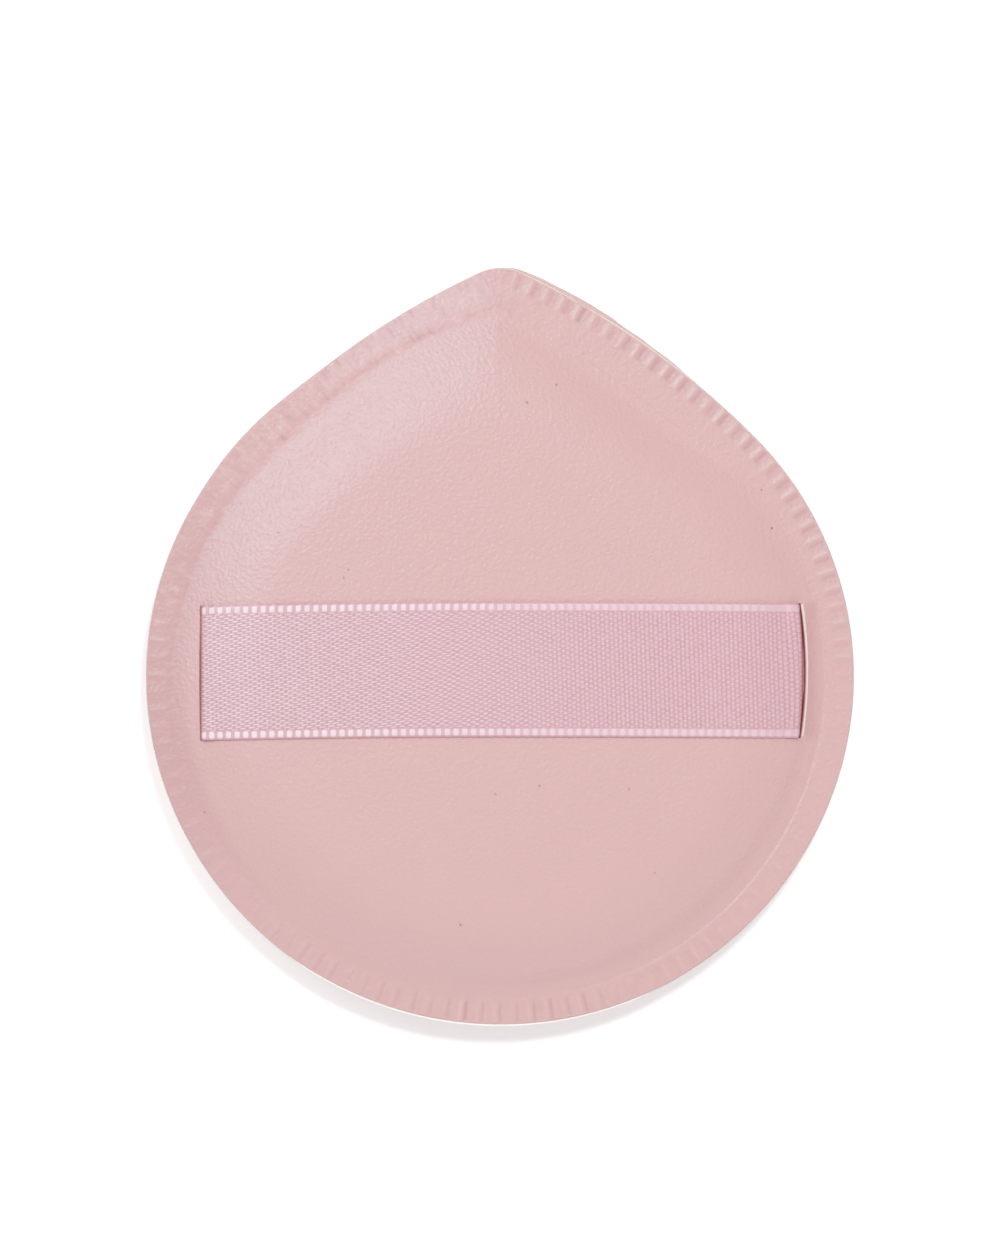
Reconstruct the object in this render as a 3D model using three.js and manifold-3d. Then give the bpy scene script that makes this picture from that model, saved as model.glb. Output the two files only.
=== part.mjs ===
// A teardrop makeup puff, lying on its soft face with its satin finger ribbon on top.
// Millimetres, +Z up, tip towards +Y. The origin is the middle of the outline, on the
// surface that the puff lies on.
import * as THREE from "three";
import { mergeVertices } from "three/addons/utils/BufferGeometryUtils.js";
import Module from "manifold-3d";

// Outline of the back cover, seen from above
const BODY_RADIUS = 31.5; // the round body
const UPPER_ANGLE = 112; // degrees from the tip's direction to where the radius drops
const UPPER_DROP = 1.45; // and by how much it is smaller from there up
const FLANK_RADIUS = 72; // the long arcs from the body to the tip
const TIP_RADIUS = 4.2; // the rounding at the tip
const TIP_LENGTH = 4.2; // how far the tip stands out past the round body

// Crimped rim, where the cover and the skin are welded together
const RIM_WIDTH = 2.5;
const CRIMP_PITCH = 1.58;
const CRIMP_LENGTH = 1.35;
const CRIMP_DEPTH = 0.22;
const CRIMP_MARGIN = 0.3; // from the cut edge to the crimps

// Soft skin that lays the powder on: a bowl with an inward rim
const SKIN_WALL = 1.3;
const SKIN_RIM_WALL = 0.7;
const SKIN_BULGE = 0.35; // how far its side stands out past the rim
const WAIST_HEIGHT = 4.2; // where its side is widest
const WAIST_TO_RIM = 1.8; // from there up to the rim
const FACE_INSET = 20; // from the outline to where the free face would bulge most
const PRESSED_DEPTH = 0.5; // of that bulge, pressed flat where the puff rests on it
const ROUNDNESS = 2.5; // exponent of the rounded side, where 2 is an ellipse

// Layers inside and on the back
const LAYER_GAP = 0.3; // between one layer and the next
const FILM_WALL = 0.2;
const BACKING_WALL = 0.35;
const COVER_WALL = 0.5;
const CROWN_RISE = 1.9; // from the rim up to the flat crown of the back
const SHOULDER_WIDTH = 10; // the curved slope between the two

// Finger ribbon, and the slits and patches that hold its ends
const RIBBON_WIDTH = 12;
const RIBBON_WALL = 0.3;
const RIBBON_CLEARANCE = 0.4; // over the back cover
const RIBBON_BEND = 0.6; // radius of its turn into a slit
const SLIT_INSET = 4.85; // from the round body's edge to a slit's middle
const SLIT_CLEARANCE = 0.3; // round the ribbon, in a slit
const TAIL_LENGTH = 8; // tucked in under the back
const PATCH_WALL = 0.25;
const PATCH_LENGTH = 7;
const PATCH_MARGIN = 1; // past each edge of the ribbon

// Rings that the layers are lofted through
const SIDE_STEPS = 5; // up the skin's side, to where it is widest
const SHOULDER_SHARES = [0, 0.15, 0.4, 0.7, 1]; // places of the rings up the shoulder
const FINE_RINGS = 2; // of those, from the rim; the others have half the points
const OFFSET_LIMIT_SHARE = 0.9; // of the tip's radius, past which rings shrink instead
const SPAN_STEPS = 10; // along the ribbon, from its middle to each bend
const BEND_STEPS = 4; // round a bend
const TAIL_STEPS = 4; // along a tucked end or a patch
const CUT_OVERRUN = 2;
const MERGE_DISTANCE = 1e-4;

const wasm = await Module();
wasm.setup();

// Outline: tip arc, flank arc, upper and lower body arc, tangent to each other, on each
// side. The flank's centre lies as far from each neighbour's as their radii differ.
const upperAngle = THREE.MathUtils.degToRad(UPPER_ANGLE);
const upperRadius = BODY_RADIUS - UPPER_DROP;
const upper = new THREE.Vector2(Math.sin(upperAngle), Math.cos(upperAngle));
upper.multiplyScalar(UPPER_DROP);
const tip = new THREE.Vector2(0, BODY_RADIUS + TIP_LENGTH - TIP_RADIUS);
const towardsTip = tip.clone().sub(upper);
const apart = towardsTip.length();
towardsTip.divideScalar(apart);
const toUpper = FLANK_RADIUS - upperRadius;
const toTip = FLANK_RADIUS - TIP_RADIUS;
const advance = (apart ** 2 + toUpper ** 2 - toTip ** 2) / (2 * apart);
const aside = Math.sqrt(toUpper ** 2 - advance ** 2);
const flank = upper.clone().addScaledVector(towardsTip, advance);
flank.add(new THREE.Vector2(-towardsTip.y, towardsTip.x).multiplyScalar(aside));
const tipEnd = Math.atan2(tip.x - flank.x, tip.y - flank.y);
const flankEnd = Math.atan2(upper.x - flank.x, upper.y - flank.y);
const arcs = [
  { centre: tip, radius: TIP_RADIUS, from: 0, to: tipEnd },
  { centre: flank, radius: FLANK_RADIUS, from: tipEnd, to: flankEnd },
  { centre: upper, radius: upperRadius, from: flankEnd, to: upperAngle },
  { centre: new THREE.Vector2(), radius: BODY_RADIUS, from: upperAngle, to: Math.PI },
];
const halfPerimeter = arcs.reduce((sum, arc) => sum + arc.radius * (arc.to - arc.from), 0);

// Points in a ring: near the crown, elsewhere, and where each crimp and each gap
// between two crimps has its own point
const crownCount = Math.round(halfPerimeter / (2 * CRIMP_PITCH));
const plainCount = 2 * crownCount;
const crimpedCount = 4 * plainCount;

// The point and outward normal at a share of the way round, clockwise from the tip
function outlineAt(share) {
  const mirrored = share > 0.5;
  let along = 2 * halfPerimeter * (mirrored ? 1 - share : share);
  let arc = arcs[0];
  for (arc of arcs) {
    const length = arc.radius * (arc.to - arc.from);
    if (along <= length || arc === arcs.at(-1)) break;
    along -= length;
  }
  const angle = arc.from + along / arc.radius;
  const side = mirrored ? -1 : 1;
  const nx = Math.sin(angle);
  const ny = Math.cos(angle);
  const x = side * (arc.centre.x + arc.radius * nx);
  return { x, y: arc.centre.y + arc.radius * ny, nx: side * nx, ny };
}

// A ring of points, inset from the outline. Shallow insets are parallel to it, and
// deeper ones shrink towards the body's centre. A notch lowers every other point.
function ring({ inset, z, count = plainCount, notch = 0 }) {
  const offset = Math.min(inset, OFFSET_LIMIT_SHARE * TIP_RADIUS);
  const shrink = (BODY_RADIUS - inset) / (BODY_RADIUS - offset);
  return Array.from({ length: count }, (_, i) => {
    const { x, y, nx, ny } = outlineAt(i / count);
    const height = i % 2 ? z - notch : z;
    return [(x - nx * offset) * shrink, (y - ny * offset) * shrink, height];
  });
}

// The faces between a lower and an upper ring, where one has a multiple of the other's
// points. Each point of the coarser one takes a fan of the finer one's edges.
function bandFaces(lower, upper) {
  const [coarse, fine] = lower.count < upper.count ? [lower, upper] : [upper, lower];
  const step = fine.count / coarse.count;
  const at = ({ start, count }, i) => start + (i % count);
  const faces = [];
  const addFace = (a, b, c) => faces.push(a, ...(fine === lower ? [b, c] : [c, b]));
  for (let j = 0; j < coarse.count; j++) {
    const middle = Math.floor((j + 0.5) * step);
    for (let i = j * step; i < (j + 1) * step; i++)
      addFace(at(fine, i), at(coarse, i < middle ? j : j + 1), at(fine, i + 1));
    addFace(at(fine, middle), at(coarse, j), at(coarse, j + 1));
  }
  return faces;
}

// A closed layer: rings from the middle of its underside, round its edge, to the middle
// of its top. The first and last rings are closed by a fan.
function layerGeometry(profile) {
  const points = [];
  const index = [];
  const rings = profile.map((entry) => {
    const start = points.length;
    points.push(...ring(entry));
    return { start, count: points.length - start };
  });
  for (let k = 1; k < rings.length; k++) index.push(...bandFaces(rings[k - 1], rings[k]));
  const fan = ({ start, count }, z, flip) => {
    const middle = points.push([0, 0, z]) - 1;
    for (let i = 0; i < count; i++) {
      const a = start + i;
      const b = start + ((i + 1) % count);
      index.push(middle, flip ? b : a, flip ? a : b);
    }
  };
  fan(rings[0], profile[0].z, false);
  fan(rings.at(-1), profile.at(-1).z, true);
  const geometry = new THREE.BufferGeometry();
  geometry.setAttribute("position", new THREE.Float32BufferAttribute(points.flat(), 3));
  geometry.setIndex(index);
  return geometry;
}

// A strip of even thickness along a line of [x, z] points, with its width along Y
function stripGeometry(line, wall, width) {
  const points = line.map(([x, z]) => new THREE.Vector2(x, z));
  const sides = [1, -1].map((side) =>
    points.map((point, i) => {
      const before = points[Math.max(i - 1, 0)];
      const after = points[Math.min(i + 1, points.length - 1)];
      const along = after.clone().sub(before).normalize();
      const normal = new THREE.Vector2(-along.y, along.x);
      return point.clone().addScaledVector(normal, (side * wall) / 2);
    }),
  );
  const shape = new THREE.Shape([...sides[0], ...sides[1].reverse()]);
  const geometry = new THREE.ExtrudeGeometry(shape, { depth: width, bevelEnabled: false });
  return geometry.translate(0, 0, -width / 2).rotateX(Math.PI / 2);
}

function toManifold(geometry) {
  const bare = geometry.clone();
  bare.deleteAttribute("normal");
  bare.deleteAttribute("uv");
  const merged = mergeVertices(bare, MERGE_DISTANCE);
  return new wasm.Manifold(
    new wasm.Mesh({
      numProp: 3,
      vertProperties: merged.attributes.position.array,
      triVerts: new Uint32Array(merged.index.array),
    }),
  );
}

function toGeometry(solid) {
  const { vertProperties, triVerts } = solid.getMesh();
  const geometry = new THREE.BufferGeometry();
  geometry.setAttribute("position", new THREE.BufferAttribute(vertProperties, 3));
  geometry.setIndex(new THREE.BufferAttribute(triVerts, 1));
  return geometry;
}

function cutBoxes(geometry, boxes) {
  let solid = toManifold(geometry);
  for (const { low, high } of boxes) {
    const size = high.map((value, i) => value - low[i]);
    const box = new THREE.BoxGeometry(...size);
    box.translate(...low.map((value, i) => value + size[i] / 2));
    solid = solid.subtract(toManifold(box));
  }
  return toGeometry(solid);
}

// Heights of the layers on the rim, from the skin up
const skinHeight = WAIST_HEIGHT + WAIST_TO_RIM;
const backingBottom = skinHeight;
const coverBottom = backingBottom + BACKING_WALL;
const coverTop = coverBottom + COVER_WALL;
const backingRise = CROWN_RISE - LAYER_GAP;
const slitX = BODY_RADIUS - SLIT_INSET;

// How far up the shoulder an inset is, from 0 on the rim to 1 on the crown
function shoulder(inset) {
  const along = THREE.MathUtils.clamp((inset - RIM_WIDTH) / SHOULDER_WIDTH, 0, 1);
  return 1 - (1 - along) ** 2;
}

// Rings of the skin's rounded side, at a depth inside its outer surface, from the flat
// of the face up to where the side is widest
function sideRings(depth) {
  const spread = FACE_INSET + SKIN_BULGE - depth;
  const rise = WAIST_HEIGHT - depth;
  const freeRise = rise + PRESSED_DEPTH;
  const flatEdge = Math.acos((rise / freeRise) ** (ROUNDNESS / 2));
  return Array.from({ length: SIDE_STEPS + 1 }, (_, i) => {
    const angle = THREE.MathUtils.lerp(flatEdge, Math.PI / 2, i / SIDE_STEPS);
    const inset = FACE_INSET - spread * Math.sin(angle) ** (2 / ROUNDNESS);
    return { inset, z: WAIST_HEIGHT - freeRise * Math.cos(angle) ** (2 / ROUNDNESS) };
  });
}

function applicatorSkin() {
  const rimUnderside = skinHeight - SKIN_RIM_WALL;
  const aboveWaist = {
    inset: -SKIN_BULGE * Math.cos(Math.PI / 4),
    z: WAIST_HEIGHT + WAIST_TO_RIM * Math.sin(Math.PI / 4),
  };
  return layerGeometry([
    ...sideRings(0),
    aboveWaist,
    { inset: 0, z: skinHeight },
    { inset: RIM_WIDTH, z: skinHeight },
    { inset: RIM_WIDTH, z: rimUnderside },
    { inset: SKIN_WALL - SKIN_BULGE, z: rimUnderside },
    ...sideRings(SKIN_WALL).reverse(),
  ]);
}

const filmDepth = SKIN_WALL + LAYER_GAP;
const coreDepth = filmDepth + FILM_WALL + LAYER_GAP;

function barrierFilm() {
  const inner = sideRings(filmDepth + FILM_WALL).reverse();
  return layerGeometry([...sideRings(filmDepth), ...inner]);
}

function foamCore() {
  return layerGeometry(sideRings(coreDepth));
}

// Rings up the shoulder and over to the edge of the flat crown
function domeRings(rimZ, rise) {
  return SHOULDER_SHARES.map((share, i) => {
    const inset = RIM_WIDTH + share * SHOULDER_WIDTH;
    const count = i < FINE_RINGS ? plainCount : crownCount;
    return { inset, z: rimZ + rise * shoulder(inset), count };
  });
}

function backPad(pockets) {
  const [rimRing, ...dome] = domeRings(backingBottom - LAYER_GAP, backingRise);
  const edge = { ...rimRing, inset: rimRing.inset + LAYER_GAP };
  const bottom = { ...edge, z: WAIST_HEIGHT + LAYER_GAP };
  return cutBoxes(layerGeometry([bottom, edge, ...dome]), pockets);
}

function coverBacking(slits) {
  return cutBoxes(
    layerGeometry([
      ...domeRings(backingBottom, backingRise).reverse(),
      { inset: 0, z: backingBottom },
      { inset: 0, z: coverBottom },
      ...domeRings(coverBottom, backingRise),
    ]),
    slits,
  );
}

function backCover(slits) {
  const crimps = [CRIMP_MARGIN, CRIMP_MARGIN + CRIMP_LENGTH].map((inset) => ({
    inset,
    z: coverTop,
    count: crimpedCount,
    notch: CRIMP_DEPTH,
  }));
  return cutBoxes(
    layerGeometry([
      ...domeRings(coverBottom, CROWN_RISE).reverse(),
      { inset: 0, z: coverBottom },
      { inset: 0, z: coverTop },
      ...crimps,
      ...domeRings(coverTop, CROWN_RISE),
    ]),
    slits,
  );
}

// Slits through the cover and its backing, one at each end of the ribbon
function slitBoxes() {
  const halfWidth = RIBBON_WALL / 2 + SLIT_CLEARANCE;
  const halfLength = RIBBON_WIDTH / 2 + SLIT_CLEARANCE;
  return [-1, 1].map((side) => ({
    low: [side * slitX - halfWidth, -halfLength, backingBottom - CUT_OVERRUN],
    high: [side * slitX + halfWidth, halfLength, coverTop + CROWN_RISE + CUT_OVERRUN],
  }));
}

// The ribbon is one strip. Its span is parted from its tucked ends inside the slits, so
// that the span can lift.
const partingHeight = coverTop + CROWN_RISE * shoulder(SLIT_INSET) - COVER_WALL / 2;
const bendX = slitX - RIBBON_BEND;

function spanHeight(x) {
  const cover = coverTop + CROWN_RISE * shoulder(BODY_RADIUS - Math.abs(x));
  return cover + RIBBON_CLEARANCE + RIBBON_WALL / 2;
}

// A quarter turn of the ribbon, from level to upright, above or below the bend's centre
function bendPoints(centreZ, up) {
  return Array.from({ length: BEND_STEPS + 1 }, (_, i) => {
    const angle = ((Math.PI / 2) * i) / BEND_STEPS;
    return [bendX + RIBBON_BEND * Math.sin(angle), centreZ + up * RIBBON_BEND * Math.cos(angle)];
  });
}

function mirrored(line) {
  return line.map(([x, z]) => [-x, z]).reverse();
}

function fingerRibbon() {
  const half = Array.from({ length: SPAN_STEPS }, (_, i) => {
    const x = (bendX * (i + 0.5)) / SPAN_STEPS;
    return [x, spanHeight(x)];
  });
  half.push(...bendPoints(spanHeight(bendX) - RIBBON_BEND, 1));
  half.push([slitX, partingHeight + LAYER_GAP / 2]);
  return stripGeometry([...mirrored(half), ...half], RIBBON_WALL, RIBBON_WIDTH);
}

// The height of a tucked end's middle, under the backing, which is lowest at its corners
function tailHeight(x) {
  const inset = BODY_RADIUS - Math.hypot(x, RIBBON_WIDTH / 2);
  return backingBottom + backingRise * shoulder(inset) - LAYER_GAP - RIBBON_WALL / 2;
}

// A line inwards from the right-hand slit, at a drop below a tucked end's middle
function tailLine(from, length, drop) {
  return Array.from({ length: TAIL_STEPS + 1 }, (_, i) => {
    const x = from - (length * i) / TAIL_STEPS;
    return [x, tailHeight(x) - drop];
  });
}

function ribbonEnd(side) {
  const line = [
    [slitX, partingHeight - LAYER_GAP / 2],
    ...bendPoints(tailHeight(bendX) + RIBBON_BEND, -1).reverse(),
    ...tailLine(bendX, TAIL_LENGTH, 0).slice(1),
  ];
  return stripGeometry(side > 0 ? line : mirrored(line), RIBBON_WALL, RIBBON_WIDTH);
}

// Adhesive patch that holds a tucked end up against the backing
const patchStart = bendX - RIBBON_BEND;
const patchDrop = (RIBBON_WALL + PATCH_WALL) / 2 + LAYER_GAP;
const patchWidth = RIBBON_WIDTH + 2 * PATCH_MARGIN;

function gluePatch(side) {
  const line = tailLine(patchStart, PATCH_LENGTH, patchDrop);
  return stripGeometry(side > 0 ? line : mirrored(line), PATCH_WALL, patchWidth);
}

// Pockets in the pad that leave room for the tucked ends and their patches
function pocketBoxes() {
  const inner = Math.min(patchStart - PATCH_LENGTH, bendX - TAIL_LENGTH) - LAYER_GAP;
  const outer = slitX + RIBBON_WALL / 2 + LAYER_GAP;
  const floor = tailHeight(patchStart) - patchDrop - PATCH_WALL / 2 - LAYER_GAP;
  const halfWidth = patchWidth / 2 + LAYER_GAP;
  return [[-outer, -inner], [inner, outer]].map(([lowX, highX]) => ({
    low: [lowX, -halfWidth, floor],
    high: [highX, halfWidth, coverTop + CROWN_RISE + CUT_OVERRUN],
  }));
}

// Materials, one for each stuff that the puff is made of
const soft = (color, roughness) =>
  new THREE.MeshStandardMaterial({ color, roughness, metalness: 0 });
const leatherette = soft(0xdfbaba, 0.5);
const baseCloth = soft(0xece0d3, 0.9);
const satin = soft(0xddbac1, 0.35);
const microfoam = soft(0xe2c0bb, 0.85);
const sponge = soft(0xf2e9dc, 0.95);
const clearFilm = soft(0xe8eaec, 0.3);
const adhesiveCloth = soft(0xe6dccb, 0.8);

const puff = new THREE.Group();
puff.position.y = -TIP_LENGTH / 2;

function add(name, geometry, material) {
  const mesh = new THREE.Mesh(geometry, material);
  mesh.name = name;
  puff.add(mesh);
}

add("applicator_skin", applicatorSkin(), microfoam);
add("barrier_film", barrierFilm(), clearFilm);
add("foam_core", foamCore(), sponge);
add("back_pad", backPad(pocketBoxes()), sponge);
add("cover_backing", coverBacking(slitBoxes()), baseCloth);
add("back_cover", backCover(slitBoxes()), leatherette);
add("finger_ribbon", fingerRibbon(), satin);
for (const [name, side] of [["left", -1], ["right", 1]]) {
  add(`ribbon_end_${name}`, ribbonEnd(side), satin);
  add(`glue_patch_${name}`, gluePatch(side), adhesiveCloth);
}

export default puff;
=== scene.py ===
import math

import bmesh
import bpy
import numpy as np
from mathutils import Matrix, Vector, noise


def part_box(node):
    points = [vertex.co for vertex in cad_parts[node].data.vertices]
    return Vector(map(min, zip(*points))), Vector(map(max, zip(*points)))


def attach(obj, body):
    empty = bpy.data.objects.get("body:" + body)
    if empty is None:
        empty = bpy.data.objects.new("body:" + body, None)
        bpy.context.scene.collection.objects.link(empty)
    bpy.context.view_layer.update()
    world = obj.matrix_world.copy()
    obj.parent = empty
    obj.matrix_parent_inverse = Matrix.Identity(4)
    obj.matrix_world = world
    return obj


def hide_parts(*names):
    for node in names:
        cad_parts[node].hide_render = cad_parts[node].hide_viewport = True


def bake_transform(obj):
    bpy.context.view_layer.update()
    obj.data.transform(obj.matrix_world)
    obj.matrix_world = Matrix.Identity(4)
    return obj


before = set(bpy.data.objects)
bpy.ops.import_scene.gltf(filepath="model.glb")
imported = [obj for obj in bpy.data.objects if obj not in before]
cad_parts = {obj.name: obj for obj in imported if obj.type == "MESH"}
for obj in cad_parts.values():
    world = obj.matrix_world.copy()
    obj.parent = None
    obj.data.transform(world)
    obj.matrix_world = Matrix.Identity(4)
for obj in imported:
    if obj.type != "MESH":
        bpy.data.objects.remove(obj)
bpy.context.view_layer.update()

# Camera
# The photograph looks straight at the ribbon side with the point up, so the camera looks
# straight down on the puff. Its frame is 1250 px of 0.0887 mm high on the puff's rim.
MM = 0.001
COVER_WALL = 0.5 * MM
RIM_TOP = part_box("back_cover")[0].z + COVER_WALL
VIEW_DISTANCE = 500 * MM
VIEW_MIDDLE = 1.92 * MM
FRAME_HEIGHT = 1250 * 0.0887 * MM
SENSOR = 36.0
bpy.ops.object.camera_add(location=(0, VIEW_MIDDLE, RIM_TOP + VIEW_DISTANCE), rotation=(0, 0, 0))
camera = bpy.context.object
camera.name = "camera"
camera.data.sensor_width = SENSOR
camera.data.lens = SENSOR * VIEW_DISTANCE / FRAME_HEIGHT
camera.data.clip_start = 1 * MM
camera.data.clip_end = 10
bpy.context.scene.camera = camera

# Light
# A wide soft lamp at the upper left puts a sheen on the crowned back. A small one at the upper
# right sends the shadow down to the left. A wide pink one past the round end and a pale room
# fill in the rest.
bpy.context.scene.view_settings.view_transform = "Standard"
for name, place, size, power, colour, shines in (
    ("key_lamp", (-0.215, 0.235, 0.48), 0.28, 0.80, (1, 1, 1), True),
    ("shadow_lamp", (0.058, 0.125, 0.55), 0.05, 1.34, (1, 1, 1), False),
    ("front_lamp", (0.0, -0.42, 0.42), 0.50, 0.57, (1, 0.84, 0.84), False),
):
    bpy.ops.object.light_add(type="AREA", location=place)
    lamp = bpy.context.object
    lamp.name = name
    lamp.data.size = size
    lamp.data.energy = power
    lamp.data.color = colour
    lamp.visible_glossy = shines
    lamp.rotation_euler = (-lamp.location).to_track_quat("-Z", "Y").to_euler()
world = bpy.data.worlds.new("pale_room")
bpy.context.scene.world = world
world.use_nodes = True
room = world.node_tree
rays = room.nodes.new("ShaderNodeLightPath")
shown = rays.outputs["Is Camera Ray"]
for kind in ("Is Glossy Ray", "Is Transmission Ray"):
    either = room.nodes.new("ShaderNodeMath")
    room.links.new(shown, either.inputs[0])
    room.links.new(rays.outputs[kind], either.inputs[1])
    shown = either.outputs[0]
strength = room.nodes.new("ShaderNodeMix")
ROOM_LIGHT = 0.36
SHOWN_WHITE = 1.0
strength.inputs["A"].default_value = ROOM_LIGHT
strength.inputs["B"].default_value = SHOWN_WHITE
room.links.new(shown, strength.inputs["Factor"])
room.nodes["Background"].inputs["Color"].default_value = (1, 1, 1, 1)
room.links.new(strength.outputs["Result"], room.nodes["Background"].inputs["Strength"])


# Leatherette back
# A soft satin sheet of dusty pink leatherette, pressed over the pad into a crown. A heated
# tool welds its rim to the layers under it and leaves the crimps. Two slits take the ribbon.
BODY_RADIUS = 31.5 * MM
UPPER_ANGLE = math.radians(112)
UPPER_DROP = 1.45 * MM
FLANK_RADIUS = 72 * MM
TIP_RADIUS = 4.2 * MM
TIP_LENGTH = 4.2 * MM
BODY_CENTRE = -TIP_LENGTH / 2
OFFSET_LIMIT = 0.9 * TIP_RADIUS
CROWN_RISE = 1.9 * MM
SHOULDER_END = 10.5 * MM
TEETH = 126
CRIMP_END = 1.72 * MM
CREST_HEIGHT = 0.050 * MM
VALLEY_DEPTH = 0.035 * MM
LINE_DEPTH = 0.07 * MM
RIDGE_FALL = 0.402
SHOULDER_SHARE = 0.79
SOFT_START = 0.2


class Strand:
    """One value in a finish. Arithmetic on it adds the Math nodes."""

    def __init__(self, finish, socket):
        self.finish = finish
        self.socket = socket

    def math(self, operation, *values):
        return self.finish.node("ShaderNodeMath", {"operation": operation}, dict(enumerate(values)))

    def __add__(self, other):
        return self.math("ADD", self, other)

    def __sub__(self, other):
        return self.math("SUBTRACT", self, other)

    def __rsub__(self, other):
        return self.math("SUBTRACT", other, self)

    def __mul__(self, other):
        return self.math("MULTIPLY", self, other)

    def __truediv__(self, other):
        return self.math("DIVIDE", self, other)

    def __abs__(self):
        return self.math("ABSOLUTE", self)

    __radd__ = __add__
    __rmul__ = __mul__

    def ramp(self, low, high, start=0.0, end=1.0):
        """From start to end, smoothly, while the value goes from low to high."""
        settings = {"interpolation_type": "SMOOTHSTEP"}
        places = {0: self, 1: low, 2: high, 3: start, 4: end}
        return self.finish.node("ShaderNodeMapRange", settings, places)


def paint(red, green, blue):
    """A colour as it shows on screen, from 0 to 255, in the linear values that a shader takes."""
    shares = [value / 255 for value in (red, green, blue)]
    linear = [s / 12.92 if s <= 0.04045 else ((s + 0.055) / 1.055) ** 2.4 for s in shares]
    return (*linear, 1.0)


class Finish:
    """A material, with its nodes added one at a time."""

    def __init__(self, name, constants):
        self.material = bpy.data.materials.new(name)
        self.material.use_nodes = True
        self.tree = self.material.node_tree
        self.shader = self.tree.nodes["Principled BSDF"]
        for socket, value in constants.items():
            self.shader.inputs[socket].default_value = value
        self.place = self.node("ShaderNodeTexCoord", output="Object")

    def feed(self, socket, value):
        if isinstance(value, Strand):
            self.tree.links.new(value.socket, socket)
        else:
            socket.default_value = value

    def node(self, kind, settings=None, values=None, output=0):
        made = self.tree.nodes.new(kind)
        for name, value in (settings or {}).items():
            setattr(made, name, value)
        for name, value in (values or {}).items():
            self.feed(made.inputs[name], value)
        return Strand(self, made.outputs[output])

    def axis(self, name):
        """The place's distance along X, Y or Z."""
        return self.node("ShaderNodeSeparateXYZ", None, {0: self.place}, name)

    def noise(self, pitch, detail=2.0, roughness=0.5):
        """Soft random variation from 0 to 1, with features of about that pitch in metres."""
        values = {"Vector": self.place, "Scale": 1 / pitch, "Detail": detail, "Roughness": roughness}
        return self.node("ShaderNodeTexNoise", None, values, "Fac")

    def cells(self, pitch):
        """Irregular cells of that pitch in metres: 0 in the middle of each, and more towards its edge."""
        values = {"Vector": self.place, "Scale": 1 / pitch}
        return self.node("ShaderNodeTexVoronoi", None, values, "Distance")

    def trait(self, name):
        """A value that the piece carries on its points."""
        return self.node("ShaderNodeAttribute", {"attribute_name": name}, output="Fac")

    def mix(self, share, first, second):
        """A blend of two colours. The Mix node has them on its sockets 6 and 7, and its result on 2."""
        return self.node("ShaderNodeMix", {"data_type": "RGBA"}, {0: share, 6: first, 7: second}, 2)

    def finish(self, colour, roughness=None, height=None, relief=1.0):
        self.feed(self.shader.inputs["Base Color"], colour)
        if roughness is not None:
            self.feed(self.shader.inputs["Roughness"], roughness)
        if height is not None:
            bump = {"Height": height, "Distance": relief, "Strength": 1.0}
            self.feed(self.shader.inputs["Normal"], self.node("ShaderNodeBump", None, bump, "Normal"))
        return self.material


def outline(share):
    """The cut edge and its outward direction, clockwise from the tip, at shares of the way round."""
    upper_radius = BODY_RADIUS - UPPER_DROP
    upper = UPPER_DROP * np.array([math.sin(UPPER_ANGLE), math.cos(UPPER_ANGLE)])
    tip = np.array([0, BODY_RADIUS + TIP_LENGTH - TIP_RADIUS])
    apart = math.dist(tip, upper)
    ahead = (tip - upper) / apart
    to_upper = FLANK_RADIUS - upper_radius
    to_tip = FLANK_RADIUS - TIP_RADIUS
    advance = (apart**2 + to_upper**2 - to_tip**2) / (2 * apart)
    aside = math.sqrt(to_upper**2 - advance**2)
    flank = upper + ahead * advance + np.array([-ahead[1], ahead[0]]) * aside
    tip_end = math.atan2(*(tip - flank))
    flank_end = math.atan2(*(upper - flank))
    arcs = (
        (tip, TIP_RADIUS, 0, tip_end),
        (flank, FLANK_RADIUS, tip_end, flank_end),
        (upper, upper_radius, flank_end, UPPER_ANGLE),
        (np.zeros(2), BODY_RADIUS, UPPER_ANGLE, math.pi),
    )
    half = sum(radius * (end - start) for _, radius, start, end in arcs)
    share = np.mod(share, 1)
    side = np.where(share > 0.5, -1, 1)
    along = 2 * half * np.minimum(share, 1 - share)
    edge = np.zeros((len(share), 2))
    outward = np.zeros((len(share), 2))
    passed = 0
    for centre, radius, start, end in arcs:
        length = radius * (end - start)
        here = (along >= passed - 1e-12) & (along <= passed + length + 1e-9)
        angle = start + (along[here] - passed) / radius
        outward[here] = np.stack([np.sin(angle), np.cos(angle)], axis=1)
        edge[here] = centre + radius * outward[here]
        passed += length
    edge[:, 0] *= side
    outward[:, 0] *= side
    return edge, outward


def lay_ring(share, inset):
    """A ring inside the cut edge. A shallow one runs beside it, a deeper one shrinks to the middle."""
    edge, outward = outline(share)
    offset = np.minimum(inset, OFFSET_LIMIT)
    shrink = (BODY_RADIUS - inset) / (BODY_RADIUS - offset)
    return (edge - outward * offset[:, None]) * shrink[:, None] + np.array([0, BODY_CENTRE])


def ease(value, low, high):
    t = np.clip((value - low) / (high - low), 0, 1)
    return t * t * (3 - 2 * t)


def around(share, *stops):
    """A value that changes smoothly from stop to stop round the rim, each a share and its value."""
    places = [place for place, _ in stops]
    values = [value for _, value in stops]
    places = [places[-1] - 1, *places, places[0] + 1]
    values = [values[-1], *values, values[0]]
    made = np.zeros(len(share))
    for start, end, first, last in zip(places, places[1:], values, values[1:]):
        here = (share >= start) & (share <= end)
        made[here] = first + (last - first) * ease(share[here], start, end)
    return made


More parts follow.
